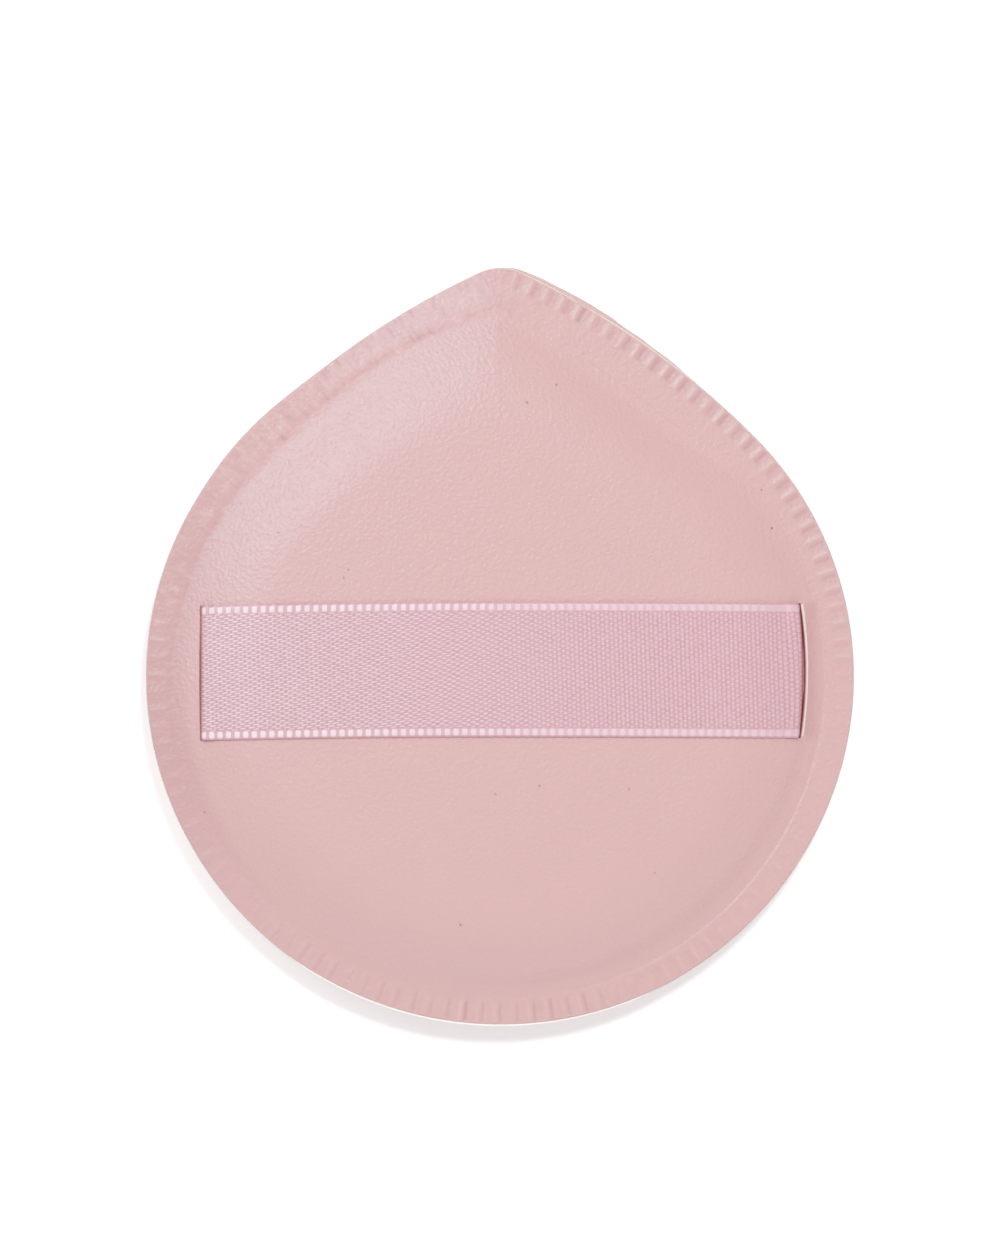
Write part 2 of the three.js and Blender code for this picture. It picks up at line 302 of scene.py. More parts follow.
def crease_inset(share):
    """How far in from the edge the pressed rim ends, in a thin line."""
    return MM * around(
        share, (0.0, 3.4), (0.03, 4.0), (0.10, 4.1), (0.155, 2.7), (0.25, 2.45), (0.45, 2.3), (0.6, 2.2),
        (0.72, 2.1), (0.8, 2.5), (0.93, 2.45),
    )


def crown_height(share, inset):
    """The leatherette's height over its rim: a thin line, a small step and the crown's long slope."""
    crease = crease_inset(share)
    inset = np.broadcast_to(np.asarray(inset, float), share.shape)
    x, y = lay_ring(share, inset).T
    ridge_width = (1.6 + 4.4 * ease(-y, -28.5 * MM, -20 * MM)) * MM * ease(y, 4 * MM, 14 * MM)
    fair = inset - RIDGE_FALL * (np.hypot(x, ridge_width) - np.abs(x))
    climbed = np.clip((fair - crease) / (SHOULDER_END - crease), 0, 1)
    soft = (np.hypot(climbed, SOFT_START) - SOFT_START) / (math.hypot(1, SOFT_START) - SOFT_START)
    wide = np.clip((fair - crease) / (BODY_RADIUS - crease), 0, 1)
    slope = SHOULDER_SHARE * (1 - (1 - soft) ** 2) + (1 - SHOULDER_SHARE) * (1 - (1 - wide) ** 2)
    step = ease(fair, crease + 0.9 * MM, crease + 2.4 * MM)
    step_share = around(share, (0.12, 0.0), (0.3, 0.09), (0.45, 0.08), (0.56, 0.0), (0.9, 0.0))
    line = around(
        share, (0.03, 0.0), (0.06, 0.4), (0.1, 0.5), (0.135, 0.1), (0.18, 0.9), (0.3, 0.9), (0.36, 0.65),
        (0.41, 0.4), (0.45, 0.2), (0.5, 0.0), (0.62, 0.0), (0.68, 0.8), (0.94, 0.7), (0.975, 0.2),
    )
    soft_side = MM * around(share, (0.04, 0.05), (0.5, 0.05), (0.72, 0.35), (0.94, 0.35))
    groove = -LINE_DEPTH * line * ease(inset, crease - soft_side, crease + 0.06 * MM)
    line_end = MM * around(share, (0.62, 0.7), (0.72, 1.4), (0.95, 1.4), (0.99, 0.7))
    groove = groove * (1 - ease(inset, crease + 0.1 * MM, crease + line_end))
    return CROWN_RISE * (slope * (1 - step_share) + step * step_share) + groove


def marks_of(piece, name):
    """The whole numbers that a piece carries on its points."""
    marks = np.zeros(len(piece.data.vertices), np.int32)
    piece.data.attributes[name].data.foreach_get("value", marks)
    return marks


def loft(name, count, rings):
    """A closed piece, extruded ring by ring from the middle of its underside to the middle of its top."""
    bpy.ops.object.select_all(action="DESELECT")
    bpy.ops.mesh.primitive_circle_add(vertices=count, radius=BODY_RADIUS)
    piece = bpy.context.object
    piece.name = name
    piece.data.name = name
    piece.data.attributes.new("place", "INT", "POINT").data.foreach_set("value", range(count))
    piece.data.attributes.new("ring", "INT", "POINT")
    bpy.ops.object.mode_set(mode="EDIT")
    bpy.ops.mesh.select_all(action="SELECT")
    for number in range(1, len(rings)):
        bpy.ops.mesh.extrude_edges_move()
        mesh = bmesh.from_edit_mesh(piece.data)
        layer = mesh.verts.layers.int["ring"]
        for vertex in mesh.verts:
            if vertex.select:
                vertex[layer] = number
    bpy.ops.object.mode_set(mode="OBJECT")
    points = np.array(rings)[marks_of(piece, "ring"), marks_of(piece, "place")]
    piece.data.vertices.foreach_set("co", points.astype(np.float32).ravel())
    bpy.ops.object.mode_set(mode="EDIT")
    bpy.ops.mesh.select_all(action="DESELECT")
    bpy.ops.mesh.select_mode(type="EDGE")
    bpy.ops.mesh.select_non_manifold(extend=False)
    bpy.ops.mesh.fill_holes(sides=0)
    bpy.ops.mesh.select_mode(type="FACE")
    bpy.ops.mesh.select_all(action="DESELECT")
    bpy.ops.mesh.select_face_by_sides(number=4, type="GREATER")
    bpy.ops.mesh.poke()
    bpy.ops.mesh.select_all(action="SELECT")
    bpy.ops.mesh.normals_make_consistent(inside=False)
    bpy.ops.mesh.select_mode(type="VERT")
    bpy.ops.object.mode_set(mode="OBJECT")
    bpy.ops.object.shade_smooth_by_angle(angle=math.radians(50))
    return piece


def layer_rings(share, insets, heights):
    """Rings for a loft, from insets and heights that are one number or one for each point."""
    rings = []
    for inset, height in zip(insets, heights):
        inset = np.broadcast_to(np.asarray(inset, float), share.shape)
        height = np.broadcast_to(np.asarray(height, float), share.shape)
        rings.append(np.column_stack([lay_ring(share, inset), height]))
    return rings


tooth_steps = np.array([0.0, 0.05, 0.11, 0.2, 0.35, 0.5, 0.65, 0.8, 0.89, 0.95])
share = (np.arange(TEETH)[:, None] + tooth_steps).ravel() / TEETH
crease = crease_inset(share)
crimp_strength = around(
    share, (0.0, 0.4), (0.02, 0.8), (0.1, 1.0), (0.2, 0.9), (0.235, 0.6), (0.265, 0.25), (0.36, 0.3),
    (0.44, 0.6), (0.475, 1.2), (0.51, 1.1), (0.57, 0.8), (0.62, 0.5), (0.68, 0.35), (0.74, 0.45),
    (0.775, 0.4), (0.80, 0.15), (0.86, 0.25), (0.91, 0.4), (0.965, 0.45),
)
crimp_start = np.where(np.abs(share - 0.33) < 0.06, 0.9, 0.1) * MM
phase = np.mod(share * TEETH + 0.5, 1) - 0.5
bite = np.array([noise.noise((0.9 * k, 5.0, 0.0)) for k in np.floor(share * TEETH + 0.5)])
bite = bite * around(share, (0.4, 1.0), (0.46, 1.6), (0.7, 1.6), (0.8, 1.0))


def round_noise(share, waves, height):
    """Random variation round the rim, with about that many waves in a sixth of the way round."""
    turns = 2 * math.pi * share
    return np.array([noise.noise((waves * math.cos(a), waves * math.sin(a), height)) for a in turns])


def hump(middle, width):
    """A bell shape across each tooth's pitch."""
    return np.exp(-(((phase - middle) / width) ** 2))


wander = round_noise(share, 40, 0)
groove_share = around(
    share, (0.01, 0.0), (0.40, 0.0), (0.46, 1.0), (0.6, 1.0), (0.68, 0.3), (0.74, 0.0), (0.93, 0.0),
    (0.965, 0.8), (0.99, 0.6),
)
# The crest shape sets colour as well as relief: a painted highlight on each crest, painted shade in the dip
# beside it, and at grooved shares painted shade in the grooves. The valleys' darker tone is the pressed
# leather's own.
crest = hump(0, 0.10 + 0.02 * groove_share) * (1 - 1.75 * groove_share)
crest = crest + 0.4 * groove_share * hump(0.33, 0.16) - 0.75 * (1 - groove_share) * hump(0.31, 0.14)
valley = ease(np.abs(phase), 0.12, 0.30) * (1 - 0.8 * groove_share)
tooth_tone = around(share, (0.0, 0.3), (0.03, 0.6), (0.2, 0.5), (0.27, 0.2), (0.9, 0.2))
# Positive values darken the pressed rim, partly as painted shade, most at the left; negative values paint a
# sheen on the upper-left rim.
rim_blush_shade_and_sheen = around(
    share, (0.0, 0.0), (0.3, 0.1), (0.45, 0.2), (0.6, 0.3), (0.72, 1.0), (0.8, 0.7), (0.88, 0.1),
    (0.94, -0.5), (0.985, -0.5),
)
crease_shade = around(share, (0.0, 0.7), (0.02, 0.0), (0.88, 0.0), (0.93, 1.0), (0.985, 1.0))
rim_lumps = around(
    share, (0.05, 1.2), (0.3, 1.2), (0.42, 1.7), (0.6, 1.7), (0.7, 1.4), (0.79, 2.2), (0.93, 2.5),
    (0.985, 2.6), (1.0, 2.2),
)
crimp_end = CRIMP_END + 0.4 * MM * groove_share


def rim_height(inset):
    """The pressed rim: narrow crests between the tool's teeth, and a slightly uneven surface."""
    reach = ease(inset, crimp_start - 0.1 * MM, crimp_start + 0.25 * MM)
    reach = reach * (1 - ease(inset, crimp_end - 0.35 * MM + 0.2 * MM * wander, crimp_end + 0.1 * MM))
    teeth = crimp_strength * reach * (1 + 0.35 * wander + 0.7 * bite)
    points = lay_ring(share, np.broadcast_to(inset, share.shape))
    uneven = np.array([noise.noise((x / (1.3 * MM), y / (1.3 * MM), 3.0)) for x, y in points])
    ray = [(90 * math.cos(a), 90 * math.sin(a)) for a in 2 * math.pi * share]
    streak = np.array([noise.noise((*spot, depth / (1.1 * MM))) for spot, depth in zip(ray, inset)])
    streak = streak * (rim_lumps - 1) / 1.8
    relief = teeth * (CREST_HEIGHT * crest - VALLEY_DEPTH * valley)
    relief = relief + (0.014 * rim_lumps * uneven + 0.022 * streak) * MM
    # The second value darkens the pressed valleys, paints a highlight on each crest and paints shade beside
    # it.
    return relief, teeth * (tooth_tone * valley - crest), streak


cover_bottom = RIM_TOP - COVER_WALL
cut_stops = (
    (0.40, 0.0), (0.46, 0.07), (0.5, 0.11), (0.56, 0.09), (0.62, 0.0), (0.825, 0.0), (0.872, -0.24),
    (0.912, 0.0),
)
cut_inset = MM * around(share, *cut_stops)
cut_slope = MM * around(
    share, (0.0, 0.05), (0.06, 0.10), (0.14, 0.05), (0.38, 0.04), (0.43, 0.0), (0.61, 0.0), (0.66, 0.04),
    (0.95, 0.04),
)
under_insets = [31.0, 24.0, 17.0, 12.0, 9.5, 7.5, 5.8, 4.6, 3.6, 2.7, 1.2]
under = [np.full(len(share), inset * MM) for inset in under_insets]
rim_insets = [0.06, 0.16, 0.28, 0.42, 0.58, 0.76, 0.95, 1.15, 1.34, 1.50, 1.63, 1.76]
line_steps = [-0.30, -0.16, -0.05, 0.0, 0.05, 0.12, 0.22, 0.36, 0.55]
insets = list(under)
heights = [cover_bottom + crown_height(share, inset) for inset in under]
crimp_tone_and_painted_light = [0 * share for _ in under]
for inset, sloped, height in ((0.03, 0, 0.0), (0.0, 0, 0.04), (0.0, 1, 0.45), (0.02, 1, 0.49)):
    insets.append(inset * MM + cut_inset + sloped * cut_slope)
    heights.append(np.full(len(share), cover_bottom + height * MM))
    crimp_tone_and_painted_light.append(0 * share)
first_edge = len(under) + 1
top = [inset * MM + (cut_inset + cut_slope) * (1 - inset / rim_insets[-1]) for inset in rim_insets]
top += [crease + step * MM for step in line_steps]
crown_start = crease + line_steps[-1] * MM
top += [crown_start + (SHOULDER_END - crown_start) * step for step in np.linspace(0, 1, 23)[1:] ** 1.15]
crown_insets = (12.0, 13.5, 15.5, 18.0, 20.5, 23.0, 25.5, 27.5, 29.3, 30.4, 31.1)
top += [np.full(len(share), inset * MM) for inset in crown_insets]
rim_tone_and_painted_light = [0 * share for _ in insets]
lump_marks = [0 * share for _ in insets]
for inset in top:
    relief, marks, streak = rim_height(inset)
    fade = 1 - ease(inset, crease, crease + 0.6 * MM)
    insets.append(inset)
    heights.append(RIM_TOP + crown_height(share, inset) + relief * fade)
    crimp_tone_and_painted_light.append(marks * fade)
    # Painted shade in the crease at the tip and the upper left.
    painted_crease_shade = crease_shade * np.exp(-(((inset - crease + 0.1 * MM) / (0.24 * MM)) ** 2))
    blush_end = crease + np.where(rim_blush_shade_and_sheen > 0, 2.0, 0.2) * MM
    rim_tone_and_painted_light.append(rim_blush_shade_and_sheen * (1 - ease(inset, crease, blush_end)) + 0.65 * painted_crease_shade)
    lump_marks.append(streak * fade)
leatherette_back = loft("leatherette_back", len(share), layer_rings(share, insets, heights))


def carry(piece, name, table):
    """Keeps a value for each ring and place on the points of a loft."""
    values = np.array(table)[marks_of(piece, "ring"), marks_of(piece, "place")].astype(np.float32)
    piece.data.attributes.new(name, "FLOAT", "POINT").data.foreach_set("value", values)


carry(leatherette_back, "rim", rim_tone_and_painted_light)
carry(leatherette_back, "tooth", crimp_tone_and_painted_light)
carry(leatherette_back, "lump", lump_marks)

SLIT_HALF = 5.975 * MM
SLIT_BOW = 0.45


def carve(piece, cutter):
    """Cuts one piece with another, which goes, and keeps its finish on the cut."""
    bpy.context.view_layer.objects.active = piece
    bpy.ops.object.modifier_add(type="BOOLEAN")
    cut = piece.modifiers[-1]
    cut.object = cutter
    cut.operation = "DIFFERENCE"
    cut.solver = "EXACT"
    cut.material_mode = "TRANSFER"
    bpy.ops.object.modifier_apply(modifier=cut.name)
    bpy.data.objects.remove(cutter)


def cut_slits(piece, wall_finish, slits):
    """Cuts the two ribbon slits. The outer wall of each may slope, and may bow out a little."""
    for side, inner, outer_low, outer_high, bow in slits:
        ribbon_drop = (0.24 if side < 0 else 0.02) * MM
        middle = BODY_CENTRE - ribbon_drop
        bpy.ops.object.select_all(action="DESELECT")
        bpy.ops.mesh.primitive_cube_add(size=1, location=(0, 0, 0))
        cutter = bpy.context.object
        bpy.ops.object.mode_set(mode="EDIT")
        bpy.ops.mesh.subdivide(number_cuts=11)
        bpy.ops.object.mode_set(mode="OBJECT")
        for vertex in cutter.data.vertices:
            u, v, w = vertex.co
            bulge = bow * (1 - (2 * v) ** 2) if u > 0 else 0.0
            height = 0.5 + 2.4 * w
            outer = outer_low + (outer_high - outer_low) * max((height - 0.1) / 0.4, 0) + bulge
            x = inner + (outer - inner) * (u + 0.5)
            vertex.co = (side * x * MM, middle + 2 * SLIT_HALF * v, RIM_TOP + height * MM)
        if side < 0:
            cutter.data.flip_normals()
        cutter.data.materials.append(wall_finish)
        carve(piece, cutter)


sheen = {"IOR": 1.5, "Specular IOR Level": 1.0, "Specular Tint": (0.35, 1.03, 1.25, 1.0)}
leather = Finish("dusty_pink_leatherette", sheen)
rim = leather.trait("rim")
tooth = leather.trait("tooth")
lump = leather.trait("lump")
grain = leather.cells(0.38 * MM) * 0.6 + leather.noise(0.32 * MM, 1.5) * 1.4
mottle = leather.noise(5 * MM, 3.0, 0.6) - 0.5
blush = leather.mix(mottle * 0.5 + 0.5, paint(218, 174, 172), paint(222, 180, 176))
# The rim trait darkens the pressed rim, with painted shade at the left and in the crease; where it is
# negative it paints a sheen on the upper-left rim.
blush = leather.mix(rim * 0.8, blush, paint(206, 159, 157))
blush = leather.mix((0 - rim) * 0.8, blush, paint(224, 195, 196))
blush = leather.mix(lump.ramp(0.0, 0.9), blush, paint(227, 195, 194))
blush = leather.mix(lump.ramp(0.0, -0.9), blush, paint(202, 157, 155))
# Darker pressed valleys with painted shade beside each crimp's crest, then a painted highlight on the
# crests.
pressed = leather.mix(tooth.ramp(0.0, 1.5), blush, paint(205, 155, 153))
crimps_with_painted_light = leather.mix((0 - tooth).ramp(0.0, 1.0), pressed, paint(224, 190, 186))
beside_x = leather.axis("X")
beside_y = leather.axis("Y") - BODY_CENTRE
# Painted shade in a band beside the right slit.
painted_slit_shade = beside_x.ramp(27.0 * MM, 27.15 * MM) * beside_x.ramp(27.5 * MM, 28.7 * MM, 1.0, 0.0)
painted_slit_shade = painted_slit_shade * abs(beside_y).ramp(5.6 * MM, 6.6 * MM, 1.0, 0.0)
specked = leather.mix(painted_slit_shade * 0.7, crimps_with_painted_light, paint(207, 161, 159))
along_slit = beside_y / SLIT_HALF
past_slit = beside_x - (1 - along_slit * along_slit) * SLIT_BOW * MM
bared = past_slit.ramp(26.80 * MM, 26.90 * MM, 1.0, 0.0) * past_slit.ramp(26.4 * MM, 26.5 * MM)
bared = bared * abs(along_slit).ramp(0.97, 0.99, 1.0, 0.0)
specked = leather.mix(bared, specked, paint(246, 233, 225))
flattened = {0: leather.place, 1: (1, 1, 0)}
level = leather.node("ShaderNodeVectorMath", {"operation": "MULTIPLY"}, flattened, "Vector")
for x, y, strength in (
    (2.4, 21.6, 0.6), (5.0, 23.2, 0.6), (7.4, 26.0, 0.3), (23.2, 13.9, 0.6), (24.1, 10.5, 0.8),
    (-19.6, 10.1, 0.5), (-13.4, 6.8, 0.5), (-13.8, 6.1, 0.5), (3.5, -12.3, 0.5), (-0.4, -13.0, 0.4),
    (11.4, -12.6, 0.4), (-26.2, -14.7, 0.5), (-3.5, -24.6, 0.7), (13.7, -20.0, 0.3),
):
    speck = {0: level, 1: (x * MM, y * MM, 0)}
    far = leather.node("ShaderNodeVectorMath", {"operation": "DISTANCE"}, speck, "Value")
    specked = leather.mix(far.ramp(0.05 * MM, 0.15 * MM, strength, 0.0), specked, paint(140, 92, 92))
gloss = 0.34 + leather.noise(0.8 * MM) * 0.1
leather_finish = leather.finish(specked, gloss, grain * beside_y.ramp(-26 * MM, 0, 0.5, 1.0), 0.046 * MM)

cut_edge = Finish("cut_edge_of_the_cloth", {"Roughness": 0.9})
fibres = cut_edge.noise(0.12 * MM, 3.0)
fibre_tone = cut_edge.mix(fibres, paint(246, 230, 225), paint(255, 252, 249))
cut_finish = cut_edge.finish(fibre_tone, None, fibres, 0.03 * MM)

# The slit walls are pale at the top; lower down they are painted deep pink, as shade lit pink by the ribbon.
slit_wall_painted_shade = Finish("slit_wall_painted_shade", {"Roughness": 0.9})
pale_share = slit_wall_painted_shade.axis("Z").ramp(RIM_TOP + 0.20 * MM, RIM_TOP + 0.36 * MM)
slit_finish = slit_wall_painted_shade.finish(slit_wall_painted_shade.mix(pale_share, paint(214, 120, 130), paint(255, 246, 240)))

leatherette_back.data.materials.append(leather_finish)
leatherette_back.data.materials.append(cut_finish)
ring_of = marks_of(leatherette_back, "ring")
for face in leatherette_back.data.polygons:
    rings = [ring_of[index] for index in face.vertices]
    if min(rings) == first_edge and max(rings) == first_edge + 1:
        face.material_index = 1
leather_slits = (-1, 26.0, 26.54, 26.58, 0.05), (1, 26.15, 26.55, 26.78, SLIT_BOW)
cut_slits(leatherette_back, slit_finish, leather_slits)
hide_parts("back_cover")
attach(leatherette_back, "puff")


# Backing cloth
# The cream base cloth that the leatherette is laminated to. Its cut edge stands a hair out
# past the pink and shows as a thin pale line round the outline and beside the right slit.
BACKING_WALL = 0.35 * MM
few = np.arange(TEETH * 3) / (TEETH * 3)
backing_bottom = cover_bottom - BACKING_WALL
stand_out = MM * around(
    few, (0.0, 0.06), (0.1, 0.06), (0.16, 0.04), (0.3, 0.05), (0.41, 0.05), (0.45, 0.10), (0.58, 0.10),
    (0.63, 0.04), (0.825, 0.05), (0.872, 0.29), (0.912, 0.05),
)
lip_end = MM * around(few, *cut_stops) - 0.004 * MM
LIP_HEIGHT = 0.42 * MM
lip = LIP_HEIGHT * around(few, (0.41, 0.0), (0.44, 1.0), (0.59, 1.0), (0.62, 0.0))
cloth_top = cover_bottom - 0.02 * MM
backing_insets = [31.0, 24.0, 17.0, 12.0, 9.5, 7.5, 5.8, 4.6, 3.6, 2.8, 2.1, 1.0]
fabric = [np.full(len(few), inset * MM) for inset in backing_insets]
backing_rings = layer_rings(
    few,
    [
        *fabric,
        0.04 * MM - stand_out,
        -stand_out,
        -stand_out,
        0.03 * MM - stand_out,
        lip_end - 0.01 * MM,
        lip_end,
        *reversed(fabric),
    ],
    [
        *[backing_bottom + crown_height(few, inset) for inset in fabric],
        backing_bottom,
        backing_bottom + 0.05 * MM,
        cover_bottom - 0.06 * MM + lip,
        cloth_top + lip,
        cloth_top + lip,
        cloth_top,
        *[cloth_top + crown_height(few, inset) for inset in reversed(fabric)],
    ],
)
base_cloth = loft("base_cloth", len(few), backing_rings)
lip_rings = [0 * few] * len(fabric) + [lip / LIP_HEIGHT] * 6 + [0 * few] * len(fabric)
carry(base_cloth, "lip", lip_rings)
cloth = Finish("cream_base_cloth", {"Roughness": 0.95, "Sheen Weight": 0.2})
nap = cloth.noise(0.25 * MM, 4.0, 0.6)
napped = cloth.mix(nap, paint(236, 219, 212), paint(252, 243, 237))
napped = cloth.mix(cloth.trait("lip"), napped, paint(253, 248, 245))
cloth_finish = cloth.finish(napped, None, nap, 0.05 * MM)
base_cloth.data.materials.append(cloth_finish)
cloth_slits = (-1, 26.0, 26.56, 26.56, 0.0), (1, 26.15, 26.57, 26.57, SLIT_BOW)
cut_slits(base_cloth, slit_finish, cloth_slits)
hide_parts("cover_backing")
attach(base_cloth, "puff")


# Finger ribbon
# A 12 mm satin ribbon, taut across the back, that a finger slips under. It is woven with
# looped selvedges, and its ends turn down through the slits. The span bows up when used.
RIBBON_WIDTH = 11.9 * MM
RIBBON_WALL = 0.2 * MM
TURN = 0.28 * MM
LOOP_PITCH = 0.775 * MM
SELVEDGE = 0.76 * MM
RIBBON_GAP = 0.05 * MM
LEFT_REACH = 26.28 * MM
RIGHT_REACH = 26.38 * MM


def ridge_height(x):
    """The highest that the back reaches under the ribbon's width at a distance along it."""
    inset = np.maximum(BODY_RADIUS - 0.1 * MM - np.abs(x), 0)
    return RIM_TOP + crown_height(np.where(x > 0, 0.27, 0.73) + 0 * x, inset)


def ribbon_path(side, reach):
    """Points from the puff's middle along the ribbon and down into a slit, and how far along each is."""
    lean = math.radians(60 if side < 0 else 85)
    turn_x = reach - TURN * math.sin(lean)
    flat = np.linspace(0, turn_x, 261)
    level = ridge_height(side * flat) + RIBBON_GAP + RIBBON_WALL / 2
    angle = np.linspace(0, lean, 15)[1:]
    turned = turn_x + TURN * np.sin(angle)
    drop = level[-1] - TURN * (1 - np.cos(angle))
    slant = np.array([0.2, 0.45]) * MM
    x = np.concatenate([flat, turned, reach + slant * math.cos(lean)])
    z = np.concatenate([level, drop, drop[-1] - slant * math.sin(lean)])
    along = np.concatenate([[0], np.cumsum(np.hypot(np.diff(x), np.diff(z)))])
    return side * x, z, along


def turn_faces_out(piece):
    bpy.ops.object.mode_set(mode="EDIT")
    bpy.ops.mesh.select_all(action="SELECT")
    bpy.ops.mesh.normals_make_consistent(inside=False)
    bpy.ops.object.mode_set(mode="OBJECT")


def thicken(piece, wall, offset, even=False):
    """Gives a sheet its wall, on both sides of it or on its inside alone."""
    bpy.ops.object.modifier_add(type="SOLIDIFY")
    solid = piece.modifiers[-1]
    solid.thickness = wall
    solid.offset = offset
    solid.use_quality_normals = even
    bpy.ops.object.modifier_apply(modifier=solid.name)


def lay_ribbon(name, side, path, over=None):
    """A length of ribbon along a path, with its width along Y. It may rest on a piece under it."""
    x, z, along = path
    columns = int(along[-1] / LOOP_PITCH * 8)
    edge_rows = np.array([0.0, 0.10, 0.22, 0.36, 0.50, 0.64, 0.76]) * MM
    middle_rows = np.linspace(0.95 * MM, RIBBON_WIDTH - 0.95 * MM, 13)
    rows = np.concatenate([edge_rows, middle_rows, RIBBON_WIDTH - edge_rows[::-1]])
    bpy.ops.object.select_all(action="DESELECT")
    bpy.ops.mesh.primitive_grid_add(x_subdivisions=columns, y_subdivisions=len(rows) - 1, size=2)
    piece = bpy.context.object
    piece.name = name
    piece.data.name = name
    co = np.zeros(len(piece.data.vertices) * 3, np.float32)
    piece.data.vertices.foreach_get("co", co)
    co = co.reshape(-1, 3)
    u = (co[:, 0] + 1) / 2 * along[-1]
    row = np.rint((co[:, 1] + 1) / 2 * (len(rows) - 1)).astype(int)
    v = rows[row]
    px = np.interp(u, along, x)
    pz = np.interp(u, along, z)
    dx = np.interp(u + 0.02 * MM, along, x) - np.interp(u - 0.02 * MM, along, x)
    dz = np.interp(u + 0.02 * MM, along, z) - np.interp(u - 0.02 * MM, along, z)
    length = np.hypot(dx, dz)
    nx, nz = -dz / length * side, dx / length * side
    edge = np.minimum(v, RIBBON_WIDTH - v)
    lower = v < RIBBON_WIDTH / 2
    loop = np.cos(math.pi * (u / LOOP_PITCH + np.where(lower, 0.0, 0.37))) ** 2
    band = 1 - ease(edge, 0.55 * MM, 0.78 * MM)
    scallop = 0.025 * MM * (loop - 0.5) * (1 - ease(edge, 0.0, 0.5 * MM))
    lift = band * (0.05 * loop * np.sin(np.clip(edge / SELVEDGE, 0, 1) * math.pi) - 0.02) * MM
    y = BODY_CENTRE + ribbon_bow(px) + (v - RIBBON_WIDTH / 2) + np.where(lower, -scallop, scallop)
    if over is not None:
        middle = {}
        for index in range(len(px)):
            key = round(px[index] / (0.05 * MM))
            if key not in middle:
                middle[key] = over.ray_cast((px[index], BODY_CENTRE, 20 * MM), (0, 0, -1))[1].z
            if abs(px[index]) < 25.9 * MM:
                beside = over.ray_cast((px[index], y[index], 20 * MM), (0, 0, -1))[1].z
                pz[index] += (beside - middle[key]) * (1 - ease(abs(px[index]), 25.2 * MM, 25.8 * MM))
    bowed = 1 - (2 * v / RIBBON_WIDTH - 1) ** 2
    if side > 0:
        px = px + 0.38 * MM * bowed * ease(px, 24.5 * MM, 26.2 * MM)
    made = np.column_stack([px + nx * lift, y, pz + nz * lift])
    piece.data.vertices.foreach_set("co", made.astype(np.float32).ravel())
    weave = piece.data.uv_layers.active or piece.data.uv_layers.new(name="weave")
    weave.name = "weave"
    corners = np.zeros(len(piece.data.loops), np.int32)
    piece.data.loops.foreach_get("vertex_index", corners)
    flat = np.column_stack([side * u, v])[corners] / MM
    weave.data.foreach_set("uv", flat.astype(np.float32).ravel())
    # Where the ribbon turns down into a slit, painted shade darkens it.
    tuck_start = (26.28 + 0 * v if side < 0 else 26.33 - 0.15 * bowed) * MM
    painted_tuck_shade = ease(np.interp(u, along, np.abs(x)), tuck_start, tuck_start + 0.12 * MM)
    piece.data.attributes.new("painted_tuck_shade", "FLOAT", "POINT").data.foreach_set("value", painted_tuck_shade.astype(np.float32))
    turn_faces_out(piece)
    if sum(face.normal.z for face in piece.data.polygons) < 0:
        piece.data.flip_normals()
    thicken(piece, RIBBON_WALL, 0, even=True)
    bpy.ops.object.shade_smooth_by_angle(angle=math.radians(50))
    return piece


def ribbon_bow(x):
    """How far the ribbon's middle line lies towards the tip: a little more at its middle than its ends."""
    left = np.clip(-x / (26.4 * MM), 0, 1) ** 2
    right = np.clip(x / (26.4 * MM), 0, 1) ** 2
    return (0.10 - 0.34 * left - 0.12 * right) * MM


ROW_PITCH = 0.2122
ROW_SLANT = 0.122
FLOATS_PER_MM = 1.2785
FLOAT_LEAN = 0.045
silk_sheen = {"IOR": 1.5, "Specular IOR Level": 1.0, "Specular Tint": (0.75, 1.0, 1.05, 1.0)}
satin = Finish("pink_satin", silk_sheen)
weave_map = satin.node("ShaderNodeUVMap", {"uv_map": "weave"})
u_mm = satin.node("ShaderNodeSeparateXYZ", None, {0: weave_map}, "X")
v_mm = satin.node("ShaderNodeSeparateXYZ", None, {0: weave_map}, "Y")
row_count = (v_mm - u_mm * ROW_SLANT) / ROW_PITCH
row = row_count.math("FLOOR", row_count)
across = row_count - row - 0.5
along_thread = u_mm * FLOATS_PER_MM + v_mm * FLOAT_LEAN
along_float = along_thread + row * 0.5
along_part = along_float - along_float.math("FLOOR", along_float) - 0.5
thread = 1 - across * across * 4
dip = (abs(along_part) + u_mm.ramp(-15, 15, 0.0, 0.12)).ramp(0.18, 0.48)
float_height = thread * (1 - dip * 0.9)
rib = abs(along_thread.math("COSINE", along_thread * 2 * math.pi))
silk_light = float_height * 0.75 + rib * u_mm.ramp(-20, 16, 0.0, 0.5)
silk_light = silk_light + (satin.noise(0.3 * MM, 1.0) - 0.5) * 0.6
half_width = RIBBON_WIDTH / 2 / MM
from_edge = half_width - abs(v_mm - half_width)
in_band = from_edge.ramp(0.70, 0.82, 1.0, 0.0)
# Painted shade along the ribbon's long edges.
edge_painted_shade = from_edge.ramp(0.10, 0.18, 1.0, 0.0)
loop_wave = u_mm.math("COSINE", u_mm / (LOOP_PITCH / MM) * math.pi)
blob_side = (from_edge - 0.44) / 0.40
loop_blob = ((loop_wave * loop_wave).ramp(0.05, 0.7) * (1 - blob_side * blob_side)).ramp(0.1, 0.8)
loop_blob = loop_blob * u_mm.ramp(22.5, 24.5, 1.0, 0.3) * (0.55 + satin.noise(1.1 * MM) * 0.8)
seam_line = abs(from_edge - 0.80).ramp(0.04, 0.16, 1.0, 0.0)
